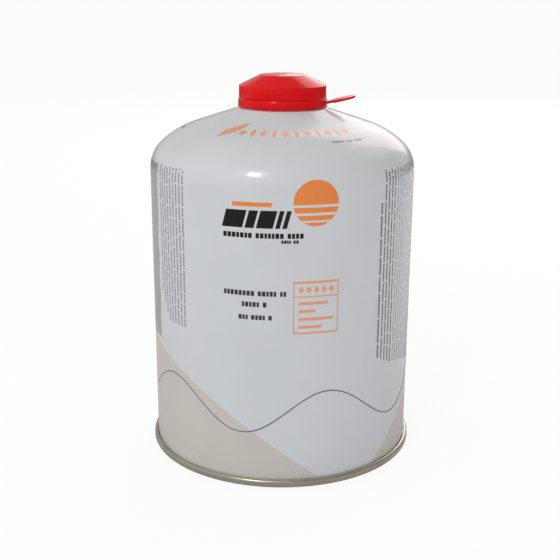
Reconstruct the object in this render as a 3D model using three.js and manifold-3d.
// A 450 g screw-valve gas can, in millimetres. It stands on z = 0 and its axis is Z.
// The pull tab of the cap points along +X.

import * as THREE from 'three';
import { mergeVertices } from 'three/addons/utils/BufferGeometryUtils.js';
import Module from 'manifold-3d';

const wasm = await Module();
wasm.setup();

// Clearance between two pieces that touch on the real can.
const SEAT_GAP = 0.3;

// Can body: a sealed and filled shell with a domed shoulder and a one-inch mouth.
const CAN_RADIUS = 54;
const CAN_WALL_TOP = 118.4;
const KNUCKLE_RADIUS = 13.6;
const KNUCKLE_TURN = 47.8;
const SHOULDER_RADIUS = 36.2;
const NECK_SLOPE = 18.2;
const MOUTH_RADIUS = 12.7;
const CURL_RADIUS = 1.55;
const CURL_LIFT = 1.3;
const BODY_SHEET = 0.5;

// Base end: tinplate panel, domed inwards and double seamed to the body.
const SEAM_PROUD = 1.7;
const SEAM_HEIGHT = 3.2;
const SEAM_ROLL = 0.7;
const SEAM_TOE = 1.5;
const SEAM_HOOK = 1.9;
const END_SHEET = 0.5;
const CHUCK_DEPTH = 5.6;
const PANEL_BEND = 1.4;
const PANEL_RISE = 9;

// Screw valve: pressed cup crimped over the mouth's curl, with a 7/16 inch post.
const VALVE_SHEET = 0.5;
const CUP_DEPTH = 5.2;
const POST_RADIUS = 5.55;
const POST_RISE = 5.6;
const POST_CHAMFER = 0.5;
const POST_FOOT = 1.2;
const PORT_RADIUS = 3.3;
const PORT_DEPTH = 2.6;
const PIN_RADIUS = 1;
const PIN_DEPTH = 1.2;

// Rubber seal in the port of the post.
const SEAL_HEIGHT = 1.8;
const SEAL_HOLE_RADIUS = 1.5;

// Cap: one moulding, with a tear band that clips under the valve's crimp.
const CAP_CLEARANCE = 0.4;
const CAP_SHEET = 1.1;
const BAND_HEIGHT = 3.85;
const BAND_DRAFT = 0.12;
const BAND_STEP = 0.25;
const BAND_ROUND = 0.35;
const CLIP_PROUD = 0.6;
const TEAR_SLIT = 0.3;
const TEAR_SLIT_DEPTH = 0.4;
const WALL_DRAFT = 0.1;
const WALL_EDGE = 0.15;
const CROWN_SLOPE = 26;
const CROWN_DISC_RADIUS = 9.15;
const CROWN_DISC_RISE = 0.4;
const CAP_HEADROOM = 2.1;

// Pull tab of the tear band.
const TAB_LENGTH = 11.8;
const TAB_WIDTH = 8.4;
const TAB_SHEET = 0.95;
const TAB_RISE = 1.75;
const TAB_TILT = 13;
const TAB_NECK_WIDTH = 3.2;
const TAB_NECK_LENGTH = 2.2;
const TAB_SHOULDER = 2.5;
const TAB_ROOT = 0.6;
const TAB_RIBS = 4;
const TAB_RIB_WIDTH = 0.6;
const TAB_RIB_PROUD = 0.25;
const TAB_RIB_LENGTH = 5.2;
const TAB_RIB_INSET = 2.5;

// Facets of the turned shapes.
const CAN_FACETS = 64;
const CAP_FACETS = 48;
const VALVE_FACETS = 32;

const radians = THREE.MathUtils.degToRad;

// Points of a circular arc in the (radius, height) plane, angles in degrees from +radius.
function arc(centreRadius, centreHeight, radius, from, to, steps) {
  const points = [];
  for (let i = 0; i <= steps; i += 1) {
    const angle = radians(from + ((to - from) * i) / steps);
    points.push([centreRadius + radius * Math.cos(angle), centreHeight + radius * Math.sin(angle)]);
  }
  return points;
}

// Points of a shallow dome, from its edge to its apex on the axis.
function dome(edgeRadius, edgeHeight, rise, steps) {
  const points = [];
  for (let i = 0; i <= steps; i += 1) {
    const share = 1 - i / steps;
    points.push([edgeRadius * share, edgeHeight + rise * (1 - share * share)]);
  }
  return points;
}

// Solid of revolution about Z. The profile runs outwards along the underside and back over the top.
function turned(profile, facets) {
  const outline = profile.map(([radius, height]) => new THREE.Vector2(radius, height));
  const geometry = new THREE.LatheGeometry(outline, facets);
  geometry.rotateX(Math.PI / 2);
  return geometry;
}

// Closed mesh with shared vertices, as a solid that can be joined to others.
function solidOf(geometry) {
  const bare = geometry.clone();
  bare.deleteAttribute('normal');
  bare.deleteAttribute('uv');
  const welded = mergeVertices(bare, 1e-4);
  const index = welded.index.array;
  const corners = [];
  for (let i = 0; i < index.length; i += 3) {
    const [a, b, c] = index.slice(i, i + 3);
    if (a !== b && b !== c && c !== a) {
      corners.push(a, b, c);
    }
  }
  const vertProperties = new Float32Array(welded.attributes.position.array);
  const triVerts = new Uint32Array(corners);
  return new wasm.Manifold(new wasm.Mesh({ numProp: 3, vertProperties, triVerts }));
}

function geometryOf(solid) {
  const mesh = solid.getMesh();
  const geometry = new THREE.BufferGeometry();
  geometry.setAttribute('position', new THREE.BufferAttribute(mesh.vertProperties, 3));
  geometry.setIndex(new THREE.BufferAttribute(mesh.triVerts, 1));
  return geometry;
}

// Shoulder of the can: knuckle arc, shoulder arc, then a straight slope up to the mouth.
const knuckleCentre = CAN_RADIUS - KNUCKLE_RADIUS;
const shoulderCentre = {
  radius: knuckleCentre + (KNUCKLE_RADIUS - SHOULDER_RADIUS) * Math.cos(radians(KNUCKLE_TURN)),
  height: CAN_WALL_TOP + (KNUCKLE_RADIUS - SHOULDER_RADIUS) * Math.sin(radians(KNUCKLE_TURN)),
};
const slopeStart = {
  radius: shoulderCentre.radius + SHOULDER_RADIUS * Math.sin(radians(NECK_SLOPE)),
  height: shoulderCentre.height + SHOULDER_RADIUS * Math.cos(radians(NECK_SLOPE)),
};

function slopeHeight(radius) {
  return slopeStart.height + (slopeStart.radius - radius) * Math.tan(radians(NECK_SLOPE));
}

// Curl round the mouth, and the crimped rim of the valve over it.
const curlCentreRadius = MOUTH_RADIUS + CURL_RADIUS;
const curlCentreHeight = slopeHeight(curlCentreRadius + CURL_RADIUS) + CURL_LIFT;
const channelRadius = CURL_RADIUS + SEAT_GAP;
const rimRadius = channelRadius + VALVE_SHEET;
const rimTop = curlCentreHeight + rimRadius;
const cupFloor = rimTop - CUP_DEPTH - VALVE_SHEET;
const postTop = rimTop + POST_RISE;

// Double seam at the foot of the can, from its outer edge inwards.
const seamRadius = CAN_RADIUS + SEAM_PROUD;
const bodyInnerRadius = CAN_RADIUS - BODY_SHEET;
const chuckRadius = bodyInnerRadius - SEAT_GAP;
const chuckInnerRadius = chuckRadius - END_SHEET;
const panelEdge = CHUCK_DEPTH + PANEL_BEND / 2;

function canBody() {
  const lift = END_SHEET + SEAT_GAP;
  const underside = dome(bodyInnerRadius - PANEL_BEND, panelEdge + lift, PANEL_RISE, 4).reverse();
  const curlFoot = -35;
  const profile = [
    ...underside,
    [bodyInnerRadius, CHUCK_DEPTH],
    [bodyInnerRadius, SEAM_HOOK + SEAT_GAP],
    [CAN_RADIUS, SEAM_HOOK + SEAT_GAP],
    ...arc(knuckleCentre, CAN_WALL_TOP, KNUCKLE_RADIUS, 0, KNUCKLE_TURN, 6),
    ...arc(shoulderCentre.radius, shoulderCentre.height, SHOULDER_RADIUS,
      KNUCKLE_TURN, 90 - NECK_SLOPE, 4).slice(1),
    [curlCentreRadius + CURL_RADIUS, slopeHeight(curlCentreRadius + CURL_RADIUS)],
    ...arc(curlCentreRadius, curlCentreHeight, CURL_RADIUS, curlFoot, 180, 6),
    [MOUTH_RADIUS, cupFloor - SEAT_GAP],
    [0, cupFloor - SEAT_GAP],
  ];
  return turned(profile, CAN_FACETS);
}

function baseEnd() {
  const underside = dome(chuckInnerRadius - PANEL_BEND, panelEdge, PANEL_RISE, 4).reverse();
  const upperSide = dome(chuckRadius - PANEL_BEND, panelEdge + END_SHEET, PANEL_RISE, 4);
  const profile = [
    ...underside,
    [chuckInnerRadius, CHUCK_DEPTH - END_SHEET],
    ...arc(chuckInnerRadius + SEAM_TOE, SEAM_TOE, SEAM_TOE, 180, 270, 3),
    ...arc(seamRadius - SEAM_ROLL, SEAM_ROLL, SEAM_ROLL, 270, 360, 3),
    ...arc(seamRadius - SEAM_ROLL, SEAM_HEIGHT - SEAM_ROLL, SEAM_ROLL, 0, 90, 3),
    [CAN_RADIUS + SEAT_GAP, SEAM_HEIGHT],
    [CAN_RADIUS + SEAT_GAP, SEAM_HOOK],
    [chuckRadius, SEAM_HOOK],
    [chuckRadius, CHUCK_DEPTH],
    ...upperSide,
  ];
  return turned(profile, CAN_FACETS);
}

// Pressed cup, crimped rim and post in one sealed unit. Its working parts lie hidden in the post.
function screwValve() {
  const cupRadius = MOUTH_RADIUS - SEAT_GAP;
  const portFloor = postTop - PORT_DEPTH;
  const profile = [
    [0, cupFloor],
    [cupRadius - VALVE_SHEET, cupFloor],
    [cupRadius, cupFloor + VALVE_SHEET],
    ...arc(curlCentreRadius, curlCentreHeight, channelRadius, 180, 0, 6),
    ...arc(curlCentreRadius, curlCentreHeight, rimRadius, 0, 180, 8),
    [cupRadius - VALVE_SHEET, cupFloor + VALVE_SHEET],
    [POST_RADIUS + POST_FOOT, cupFloor + VALVE_SHEET],
    [POST_RADIUS, cupFloor + VALVE_SHEET + POST_FOOT],
    [POST_RADIUS, postTop - POST_CHAMFER],
    [POST_RADIUS - POST_CHAMFER, postTop],
    [PORT_RADIUS, postTop],
    [PORT_RADIUS, portFloor],
    [PIN_RADIUS, portFloor],
    [PIN_RADIUS, portFloor - PIN_DEPTH],
    [0, portFloor - PIN_DEPTH],
  ];
  return turned(profile, VALVE_FACETS);
}

function valveSeal() {
  const foot = postTop - PORT_DEPTH + SEAT_GAP;
  const outer = PORT_RADIUS - SEAT_GAP;
  const profile = [
    [SEAL_HOLE_RADIUS, foot],
    [outer, foot],
    [outer, foot + SEAL_HEIGHT],
    [SEAL_HOLE_RADIUS, foot + SEAL_HEIGHT],
    [SEAL_HOLE_RADIUS, foot],
  ];
  return turned(profile, VALVE_FACETS);
}

// Sizes of the cap, worked out from the rim that it clips on and the post that it covers.
const bandInnerRadius = curlCentreRadius + rimRadius + CAP_CLEARANCE;
const bandRadius = bandInnerRadius + CAP_SHEET;
const bandFoot = slopeHeight(bandRadius) + SEAT_GAP;
const bandTop = bandFoot + BAND_HEIGHT;
const wallRadius = bandRadius - BAND_DRAFT - BAND_STEP;
const wallTopRadius = wallRadius - WALL_DRAFT;
const crownTop = postTop + CAP_HEADROOM + CAP_SHEET;
const wallTop = crownTop - (wallTopRadius - CROWN_DISC_RADIUS) * Math.tan(radians(CROWN_SLOPE));

function capShell() {
  const clipRadius = bandInnerRadius - CLIP_PROUD;
  const clipFoot = slopeHeight(clipRadius) + SEAT_GAP;
  const clipTop = curlCentreHeight - SEAT_GAP;
  const slitInner = wallRadius - TEAR_SLIT_DEPTH;
  const innerWall = wallTopRadius - CAP_SHEET;
  const innerShoulder = wallTop - CAP_SHEET / 2;
  const innerDisc = CROWN_DISC_RADIUS - CAP_SHEET / 2;
  const profile = [
    [0, crownTop - CAP_SHEET],
    [innerDisc, crownTop - CAP_SHEET],
    [innerWall, innerShoulder],
    [innerWall, bandTop],
    [bandInnerRadius, bandTop - CAP_SHEET],
    [bandInnerRadius, clipTop + CLIP_PROUD],
    [clipRadius, clipTop],
    [clipRadius, clipFoot],
    [bandRadius - BAND_ROUND, slopeHeight(bandRadius - BAND_ROUND) + SEAT_GAP],
    [bandRadius, bandFoot + BAND_ROUND],
    [bandRadius - BAND_DRAFT, bandTop],
    [slitInner, bandTop],
    [slitInner, bandTop + TEAR_SLIT],
    [wallRadius, bandTop + TEAR_SLIT],
    [wallTopRadius, wallTop - WALL_EDGE],
    [wallTopRadius - WALL_EDGE, wallTop + WALL_EDGE * Math.tan(radians(CROWN_SLOPE))],
    ...dome(CROWN_DISC_RADIUS, crownTop, CROWN_DISC_RISE, 3),
  ];
  return turned(profile, CAP_FACETS);
}

// Flat outline of the pull tab, with x measured out from the band.
function tabOutline() {
  const neck = TAB_NECK_WIDTH / 2;
  const half = TAB_WIDTH / 2;
  const shoulder = TAB_NECK_LENGTH + TAB_SHOULDER;
  // A cubic curve bulges by three quarters of its handles.
  const handle = TAB_LENGTH - half + half / 0.75;
  const outline = new THREE.Shape();
  outline.moveTo(-TAB_ROOT, -neck);
  outline.lineTo(TAB_NECK_LENGTH, -neck);
  outline.quadraticCurveTo(TAB_NECK_LENGTH, -half, shoulder, -half);
  outline.lineTo(TAB_LENGTH - half, -half);
  outline.bezierCurveTo(handle, -half, handle, half, TAB_LENGTH - half, half);
  outline.lineTo(shoulder, half);
  outline.quadraticCurveTo(TAB_NECK_LENGTH, half, TAB_NECK_LENGTH, neck);
  outline.lineTo(-TAB_ROOT, neck);
  outline.closePath();
  return outline;
}

// Grip rib across the upper side of the pull tab.
function tabRib(place) {
  const height = TAB_RIB_PROUD + TAB_SHEET / 2;
  const rib = new THREE.BoxGeometry(TAB_RIB_WIDTH, TAB_RIB_LENGTH, height);
  rib.translate(place, 0, TAB_SHEET / 2 + height / 2);
  return rib;
}

function pullTab() {
  const sheet = new THREE.ExtrudeGeometry(tabOutline(), {
    depth: TAB_SHEET,
    bevelEnabled: false,
    curveSegments: 6,
  });
  let tab = solidOf(sheet);
  const ribStart = TAB_NECK_LENGTH + TAB_RIB_INSET;
  const ribEnd = TAB_LENGTH - TAB_RIB_INSET;
  for (let i = 0; i < TAB_RIBS; i += 1) {
    const place = ribStart + ((ribEnd - ribStart) * (i + 0.5)) / TAB_RIBS;
    tab = tab.add(solidOf(tabRib(place)));
  }
  const geometry = geometryOf(tab);
  geometry.rotateY(-radians(TAB_TILT));
  geometry.translate(bandRadius, 0, bandFoot + TAB_RISE - TAB_SHEET / 2);
  return geometry;
}

function cap() {
  return geometryOf(solidOf(capShell()).add(solidOf(pullTab())));
}

function material(colour, roughness, metalness) {
  return new THREE.MeshStandardMaterial({ color: colour, roughness, metalness });
}

const can = new THREE.Group();

function place(name, geometry, finish) {
  const mesh = new THREE.Mesh(geometry, finish);
  mesh.name = name;
  can.add(mesh);
}

place('can_body', canBody(), material(0xd4d5d8, 0.3, 0));
place('base_end', baseEnd(), material(0x98958a, 0.35, 0.9));
place('screw_valve', screwValve(), material(0xc9c8c2, 0.3, 0.9));
place('valve_seal', valveSeal(), material(0x1c1c1d, 0.8, 0));
place('cap', cap(), material(0xd01820, 0.25, 0));

export default can;
